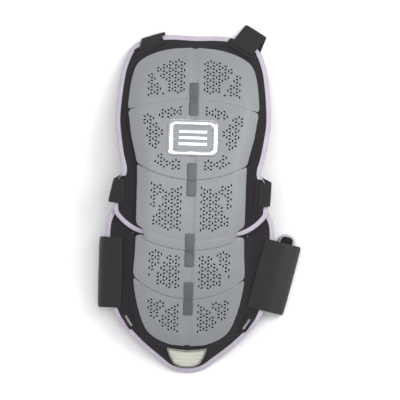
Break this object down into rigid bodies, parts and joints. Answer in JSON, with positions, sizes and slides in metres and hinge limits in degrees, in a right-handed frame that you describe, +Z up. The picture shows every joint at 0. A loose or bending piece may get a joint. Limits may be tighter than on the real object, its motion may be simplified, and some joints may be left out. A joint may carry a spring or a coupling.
{
  "type": "back protector",
  "caption": "Back protector with overlapping hard plates on a two-part foam panel, shoulder straps and a wide waist belt, lying shell up.",
  "frame": {"origin": "on the floor, on the spine line, in the middle of the left belt half's flat underside", "axes": "+Z up out of the shell, +Y along the spine towards the neck, +X across to the side where the right shoulder strap stands out"},
  "size_m": [0.3162, 0.5484, 0.0958],
  "materials": {
    "foam": "pale lilac-grey foam edge with a fine skin",
    "textile": "matt black knitted cover",
    "plate": "satin grey moulded plastic",
    "clip": "satin dark grey moulded plastic",
    "silver": "bright silver with bevelled edges",
    "rubber_pad": "warm grey ribbed rubber",
    "elastic": "black woven elastic"
  },
  "bodies": {
    "root": {"upper_foam": "foam", "lower_foam": "foam", "belt_end_pad": "foam", "upper_cover": "textile", "lower_cover": "textile", "belt_end_cover": "textile", "slot_frame_neck_left": "textile", "slot_frame_neck_right": "textile", "slot_frame_wing_left": "textile", "slot_frame_wing_right": "textile", "slot_frame_hem_left": "textile", "slot_frame_hem_right": "textile", "shell_plate_1": "plate", "shell_plate_2": "plate", "shell_plate_3": "plate", "shell_plate_4": "plate", "shell_plate_5": "plate", "spine_clip_1": "clip", "spine_clip_2": "clip", "spine_clip_3": "clip", "spine_clip_4": "clip", "badge_frame": "silver", "badge_bar_1": "silver", "badge_bar_2": "silver", "badge_bar_3": "silver", "badge_insert": "clip", "tail_pad": "rubber_pad", "shoulder_strap_left": "elastic", "shoulder_strap_right": "elastic", "waist_belt_left": "elastic", "waist_belt_right": "elastic"}
  },
  "joints": []
}
